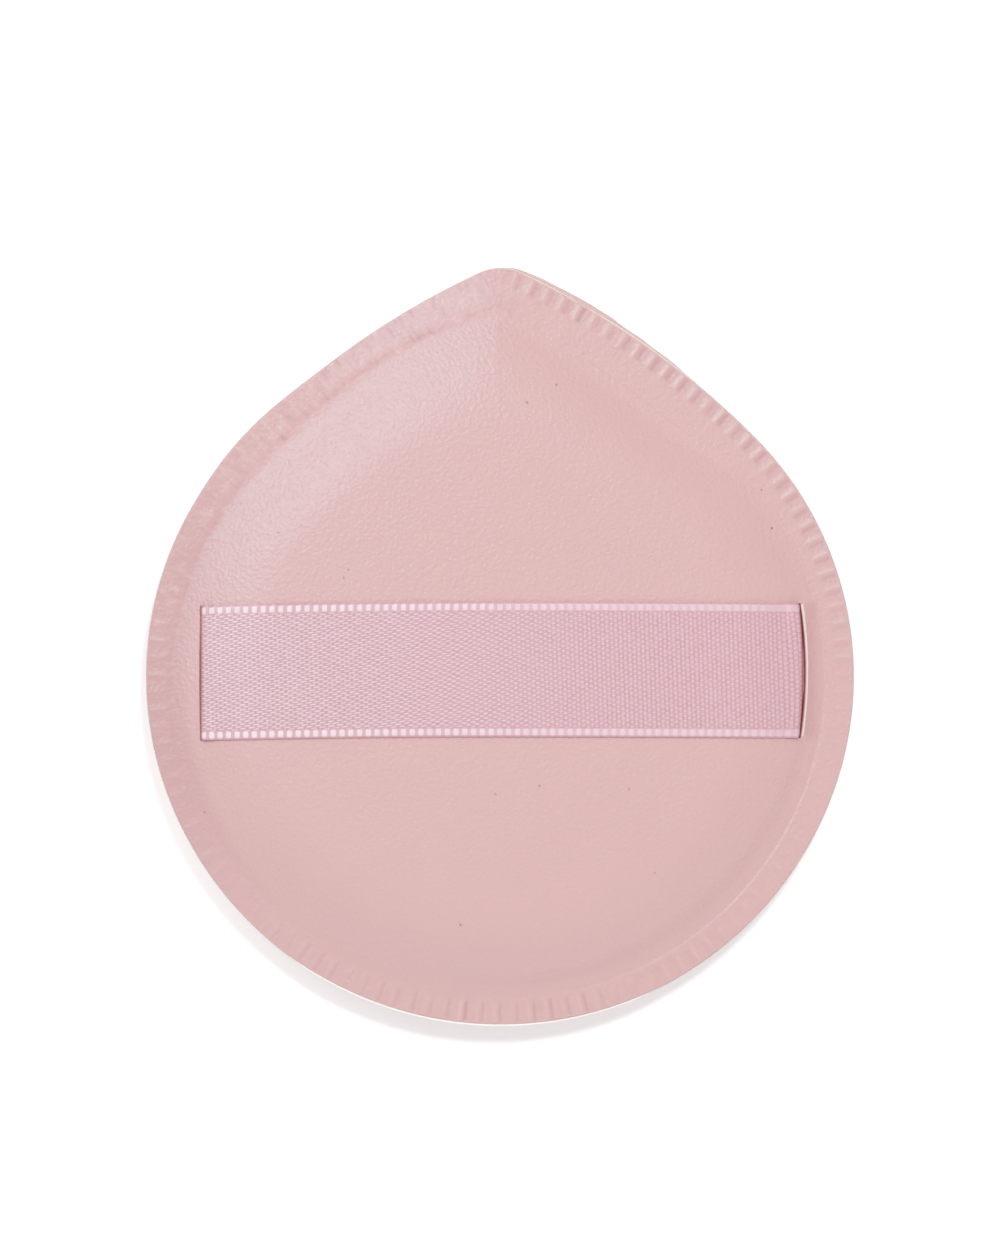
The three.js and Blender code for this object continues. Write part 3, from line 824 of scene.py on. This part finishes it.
# The satin's tones are painted paler towards its left end, as a sheen.
leftward_painted_sheen = u_mm.ramp(-26, 18, 1.0, 0.0)
silk_dark = satin.mix(leftward_painted_sheen, paint(197, 148, 156), paint(198, 158, 165))
silk_pale = satin.mix(leftward_painted_sheen, paint(222, 185, 193), paint(234, 207, 214))
silk = satin.mix(silk_light.ramp(0.0, 0.9), silk_dark, silk_pale)
loop_dark = satin.mix(leftward_painted_sheen, paint(221, 186, 195), paint(209, 176, 185))
loop_pale = satin.mix(leftward_painted_sheen, paint(232, 202, 209), paint(243, 222, 228))
looped = satin.mix(in_band, silk, satin.mix(loop_blob, loop_dark, loop_pale))
lined = satin.mix(seam_line * 0.3 + edge_painted_shade * 0.8, looped, paint(207, 149, 159))
# Painted shade, deep red, where the ribbon turns down into the slits.
satin_with_tuck_shade = satin.mix(satin.trait("painted_tuck_shade") * 0.85, lined, paint(182, 96, 108))
satin_height = float_height * (1 - in_band) + in_band * loop_blob * 1.2
satin_finish = satin.finish(satin_with_tuck_shade, 0.36 + dip * 0.1, satin_height, 0.012 * MM)

for name, side, reach in (("ribbon_span_left", -1, LEFT_REACH), ("ribbon_span_right", 1, RIGHT_REACH)):
    span = lay_ribbon(name, side, ribbon_path(side, reach), leatherette_back)
    span.data.materials.append(satin_finish)
    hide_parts("finger_ribbon")
    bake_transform(span)

# Ribbon ends
# Past the slits the ribbon turns inwards and lies flat under the base cloth, where cloth
# patches coated with adhesive hold it.
TAIL_LENGTH = 8 * MM
TAIL_GAP = 0.03 * MM


def under_cloth(x):
    """The lowest that the base cloth's underside comes over the ribbon's width."""
    inset = BODY_RADIUS - np.hypot(x, RIBBON_WIDTH / 2)
    return backing_bottom + crown_height(np.where(x > 0, 0.27, 0.73) + 0 * x, inset)


for name, side, reach in (
    ("ribbon_end_inside_left", -1, LEFT_REACH),
    ("ribbon_end_inside_right", 1, RIGHT_REACH),
):
    span_x, span_z, _ = ribbon_path(side, reach)
    top_z = span_z[-1] - 0.01 * MM
    outer_x = abs(span_x[-1])
    turn_x = outer_x - TURN
    angle = np.linspace(0, math.pi / 2, 9)
    flat_x = np.linspace(turn_x, turn_x - TAIL_LENGTH, 12)
    flat_z = under_cloth(flat_x) - TAIL_GAP - RIBBON_WALL / 2
    x = np.concatenate([[outer_x], turn_x + TURN * np.cos(angle), flat_x[1:]])
    z = np.concatenate([[top_z], flat_z[0] + TURN * (1 - np.sin(angle)), flat_z[1:]])
    along = np.concatenate([[0], np.cumsum(np.hypot(np.diff(x), np.diff(z)))])
    end_piece = lay_ribbon(name, side, (side * x, z, along))
    end_piece.data.materials.append(satin_finish)
    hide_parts("ribbon_end_left" if side < 0 else "ribbon_end_right")
    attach(end_piece, "puff")

# Glue patches
# Two small pieces of plain-woven cloth with adhesive on one face. They are ironed over the
# ribbon's ends and hold them to the underside of the base cloth.
PATCH_WALL = 0.22 * MM
PATCH_LENGTH = 7
PATCH_WIDTH = 14
PATCH_OUTER_END = 25.45
patch = Finish("adhesive_cloth", {"Roughness": 0.7})
warp_and_weft = {"Vector": patch.place, "Scale": 1 / (2 * MM)}
checks = patch.node("ShaderNodeTexWave", {"bands_direction": "X"}, warp_and_weft, "Fac")
checks = checks * patch.node("ShaderNodeTexWave", {"bands_direction": "Y"}, warp_and_weft, "Fac")
patch_tone = patch.mix(checks, paint(206, 194, 176), paint(232, 222, 206))
patch_finish = patch.finish(patch_tone, None, checks, 0.03 * MM)
for name, side in (("glue_patch_cloth_left", -1), ("glue_patch_cloth_right", 1)):
    bpy.ops.object.select_all(action="DESELECT")
    bpy.ops.mesh.primitive_grid_add(x_subdivisions=14, y_subdivisions=28, size=1)
    piece = bpy.context.object
    piece.name = name
    piece.data.name = name
    for vertex in piece.data.vertices:
        x = (PATCH_OUTER_END - PATCH_LENGTH * (vertex.co.x + 0.5)) * MM
        y = vertex.co.y * PATCH_WIDTH * MM
        drop = 0.05 * MM + RIBBON_WALL + 0.02 * MM + PATCH_WALL / 2
        z = under_cloth(np.array([x]))[0] - drop
        vertex.co = (side * x, BODY_CENTRE + y, z)
    thicken(piece, PATCH_WALL, 0)
    turn_faces_out(piece)
    piece.data.materials.append(patch_finish)
    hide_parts("glue_patch_left" if side < 0 else "glue_patch_right")
    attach(piece, "puff")

# Back pad
# A thin pad of cream sponge foam under the base cloth, which gives the back its crown. The
# ribbon's ends and their patches sink into it.
pad_count = 168
pad_share = np.arange(pad_count) / pad_count
PAD_TOP_GAP = 0.04 * MM
PAD_BOTTOM = 4.5 * MM
pad_insets = [inset * MM for inset in (3.0, 3.6, 4.6, 5.8, 7.5, 9.5, 12.0, 17.0, 24.0, 31.0)]
pad_rings = layer_rings(
    pad_share,
    [31 * MM, 24 * MM, 17 * MM, 10 * MM, 5 * MM, 3.4 * MM, 3.0 * MM, 2.9 * MM, *pad_insets],
    [
        *[PAD_BOTTOM] * 5,
        PAD_BOTTOM + 0.05 * MM,
        PAD_BOTTOM + 0.3 * MM,
        backing_bottom - 0.4 * MM,
        *[backing_bottom - PAD_TOP_GAP + crown_height(pad_share, inset) for inset in pad_insets],
    ],
)
foam = Finish("cream_sponge_foam", {"Roughness": 0.95})
bubbles = foam.cells(0.35 * MM) * 0.7 + foam.cells(0.8 * MM) * 0.5
foam_tone = foam.mix(bubbles.ramp(0.1, 0.8), paint(214, 200, 180), paint(246, 238, 226))
foam_finish = foam.finish(foam_tone, None, bubbles, 0.12 * MM)
sponge_pad = loft("sponge_pad", pad_count, pad_rings)
sponge_pad.data.materials.append(foam_finish)
POCKET_PLACE = 22.2 * MM
POCKET_HEIGHT = 6.8 * MM
POCKET_SIZE = (9.4 * MM, 14.6 * MM, 2.9 * MM)
for side in (-1, 1):
    bpy.ops.object.select_all(action="DESELECT")
    pocket_middle = (side * POCKET_PLACE, BODY_CENTRE, POCKET_HEIGHT)
    bpy.ops.mesh.primitive_cube_add(size=1, location=pocket_middle, scale=POCKET_SIZE)
    pocket = bpy.context.object
    bpy.ops.object.transform_apply(location=True, scale=True)
    pocket.data.materials.append(foam_finish)
    carve(sponge_pad, pocket)
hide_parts("back_pad")
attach(sponge_pad, "puff")

# Foam core
# The die-cut sponge that fills the face's bowl and gives it its bounce. It is cream foam
# like the pad, shaped by the skin that is drawn round it.
SKIN_BULGE = 0.35 * MM
WAIST = 4.2 * MM
FACE_INSET = 20 * MM
PRESSED = 0.5 * MM
ROUNDNESS = 2.5


def side_rings(depth, steps):
    """Insets and heights of the bowl's rounded side, at a depth inside the face, from its flat up."""
    spread = FACE_INSET + SKIN_BULGE - depth
    rise = WAIST - depth
    free = rise + PRESSED
    flat_edge = math.acos((rise / free) ** (ROUNDNESS / 2))
    angle = np.linspace(flat_edge, math.pi / 2, steps)
    insets = FACE_INSET - spread * np.sin(angle) ** (2 / ROUNDNESS)
    heights = WAIST - free * np.clip(np.cos(angle), 0, 1) ** (2 / ROUNDNESS)
    return insets, heights


core_inset, core_z = side_rings(2.2 * MM, 14)
core_edge = core_inset[-1]
core_top = core_z[-1]
rounded = [core_edge + 0.15 * MM, core_edge + 0.6 * MM]
core_rings = layer_rings(
    pad_share,
    [31 * MM, 26 * MM, *core_inset, *rounded, 8 * MM, 16 * MM, 24 * MM, 31 * MM],
    [core_z[0], core_z[0], *core_z, core_top + 0.12 * MM, core_top + 0.17 * MM, *[core_top + 0.2 * MM] * 4],
)
sponge_core = loft("sponge_core", pad_count, core_rings)
sponge_core.data.materials.append(foam_finish)
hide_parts("foam_core")
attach(sponge_core, "puff")

# Barrier film
# A thin milky film that keeps foundation out of the sponge. It is heat-formed to the bowl
# and lies between the skin and the foam core.
film_inset, film_z = side_rings(1.65 * MM, 14)
lining_inset, lining_z = side_rings(1.8 * MM, 14)
film_rings = layer_rings(
    pad_share,
    [31 * MM, 26 * MM, *film_inset, *lining_inset[::-1], 26 * MM, 31 * MM],
    [film_z[0], film_z[0], *film_z, *lining_z[::-1], lining_z[0], lining_z[0]],
)
thin_film = loft("thin_film", pad_count, film_rings)
film = Finish("milky_film", {"Roughness": 0.3, "IOR": 1.45})
haze = film.noise(3 * MM, 3.0)
film_tone = film.mix(haze, paint(222, 226, 230), paint(240, 242, 244))
film_finish = film.finish(film_tone, 0.25 + haze * 0.15, haze, 0.05 * MM)
thin_film.data.materials.append(film_finish)
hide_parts("barrier_film")
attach(thin_film, "puff")

# Applicator skin
# The soft face: fine-pored pink microfoam, heat-formed to a shallow bowl, filled, and drawn
# up into the welded rim, where it puckers a little. Near the tip it sits past the back.
SKIN_WALL = 1.1 * MM
SKIN_HELD = 5.85 * MM
PUFF_LIMIT = 0.30 * MM
skin_count = TEETH * 3
skin_share = np.arange(skin_count) / skin_count
overhang = MM * around(
    skin_share, (0.0, 0.16), (0.015, 0.42), (0.04, 0.5), (0.075, 0.32), (0.12, 0.02), (0.2, -0.04),
    (0.5, -0.04), (0.93, -0.04), (0.985, 0.02),
)
pucker = round_noise(skin_share, 22, 7.0) + 0.5 * np.cos(2 * math.pi * skin_share * TEETH / 2)
side_inset, side_z = side_rings(0.0, 26)
face = [31 * MM, 28 * MM, 25 * MM, 22.5 * MM]
flat_z = [0.0] * len(face)
wall_insets = []
wall_heights = []
for inset, z in zip([*face, *side_inset], [*flat_z, *side_z]):
    share_up = ease(z, 1.0 * MM, WAIST)
    wall_insets.append(inset + SKIN_BULGE * share_up - 0.08 * MM * share_up - overhang * share_up)
    wall_heights.append(z)
drawn_in = (4.6, 0.02), (5.0, 0.08), (5.3, 0.16), (5.55, 0.24), (5.75, 0.28), (5.9, 0.22), (6.0, 0.14)
for rise, inset in drawn_in:
    drawn = ease(rise, 4.2, 5.6)
    wall_insets.append((inset - 0.08) * MM - overhang + 0.05 * MM * pucker * drawn)
    wall_heights.append(rise * MM)


def inflate(piece, pinned, cap):
    """Blows the skin up as cloth, held at the points in pinned. No point moves further than the cap."""
    start = np.zeros(len(piece.data.vertices) * 3, np.float32)
    piece.data.vertices.foreach_get("co", start)
    start = start.reshape(-1, 3).copy()
    piece.data.vertices.foreach_set("co", (start * 10).ravel())
    group = piece.vertex_groups.new(name="held")
    for index in np.nonzero(pinned)[0]:
        group.add([int(index)], 1.0, "REPLACE")
    bpy.context.view_layer.objects.active = piece
    bpy.ops.object.modifier_add(type="CLOTH")
    cloth_fit = piece.modifiers[-1]
    cloth_fit.settings.vertex_group_mass = "held"
    cloth_fit.settings.use_pressure = True
    cloth_fit.settings.uniform_pressure_force = 4
    cloth_fit.settings.effector_weights.gravity = 0
    cloth_fit.settings.quality = 5
    cloth_fit.settings.shrink_min = -0.01
    cloth_fit.point_cache.frame_start = 1
    cloth_fit.point_cache.frame_end = 20
    for step in range(1, 21):
        bpy.context.scene.frame_set(step)
    bpy.ops.object.modifier_apply(modifier=cloth_fit.name)
    bpy.context.scene.frame_set(1)
    grown = np.zeros(len(piece.data.vertices) * 3, np.float32)
    piece.data.vertices.foreach_get("co", grown)
    moved = grown.reshape(-1, 3) / 10 - start
    far = np.linalg.norm(moved, axis=1, keepdims=True)
    moved = moved * np.minimum(1, cap / np.maximum(far, 1e-9))
    made = start + moved
    made[:, 2] = np.maximum(made[:, 2], 0)
    piece.data.vertices.foreach_set("co", made.astype(np.float32).ravel())


def settle_order(piece):
    """Lists a piece's points and faces in one fixed order, so that its simulation ends the same each run."""
    spots = [tuple(vertex.co) for vertex in piece.data.vertices]
    order = sorted(range(len(spots)), key=spots.__getitem__)
    number = {index: place for place, index in enumerate(order)}
    faces = []
    for face in piece.data.polygons:
        corners = [number[index] for index in face.vertices]
        first = corners.index(min(corners))
        faces.append(corners[first:] + corners[:first])
    piece.data.clear_geometry()
    piece.data.from_pydata([spots[index] for index in order], [], sorted(faces))


def bowl(name, share, insets, heights):
    """The open outer surface of the skin, from the middle of its face to the rim."""
    piece = loft(name, len(share), layer_rings(share, insets, heights))
    bpy.ops.object.mode_set(mode="EDIT")
    bpy.ops.mesh.select_all(action="DESELECT")
    mesh = bmesh.from_edit_mesh(piece.data)
    for face in mesh.faces:
        if len(face.verts) == 3 and face.calc_center_median().z > WAIST:
            face.select = True
    bpy.ops.mesh.delete(type="FACE")
    bpy.ops.mesh.select_all(action="SELECT")
    bpy.ops.mesh.delete_loose()
    bpy.ops.object.mode_set(mode="OBJECT")
    settle_order(piece)
    return piece


microfoam_face = bowl("microfoam_face", skin_share, wall_insets, wall_heights)
z = np.array([vertex.co.z for vertex in microfoam_face.data.vertices])
inflate(microfoam_face, z > SKIN_HELD, PUFF_LIMIT)
bpy.context.view_layer.objects.active = microfoam_face
bpy.ops.object.select_all(action="DESELECT")
microfoam_face.select_set(True)
thicken(microfoam_face, SKIN_WALL, -1)
bpy.ops.object.shade_smooth_by_angle(angle=math.radians(60))
skin = Finish("pink_microfoam", {"Roughness": 0.85, "Sheen Weight": 0.35, "Sheen Roughness": 0.5})
fine = skin.cells(0.14 * MM) * 0.6 + skin.noise(0.09 * MM, 3.0, 0.6) * 0.6
cloudy = skin.noise(4 * MM, 3.0, 0.6)
tone = skin.mix(cloudy, paint(224, 190, 186), paint(229, 199, 194))
pored = skin.mix(fine.ramp(0.15, 0.6), paint(206, 168, 164), tone)
skin_finish = skin.finish(pored, None, fine, 0.05 * MM)
microfoam_face.data.materials.append(skin_finish)
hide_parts("applicator_skin")
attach(microfoam_face, "puff")

# Floor
# The white table that the puff lies on. It shows pure white, apart from the puff's soft
# shadow, and throws no more light on the puff than a white table does.
TABLE_DROP = 0.02 * MM
TABLE_GLOW = 0.42
bpy.ops.mesh.primitive_plane_add(size=6, location=(0, 0, -TABLE_DROP))
table = bpy.context.object
table.name = "table"
white = Finish("white_table", {"Roughness": 0.9})
seen = white.node("ShaderNodeLightPath", output="Is Camera Ray")
for kind in ("Is Glossy Ray", "Is Transmission Ray"):
    seen = seen + white.node("ShaderNodeLightPath", output=kind)
white.finish((0.80, 0.795, 0.80, 1))
white.shader.inputs["Emission Color"].default_value = (1, 1, 1, 1)
white.feed(white.shader.inputs["Emission Strength"], seen * TABLE_GLOW)
table.data.materials.append(white.material)
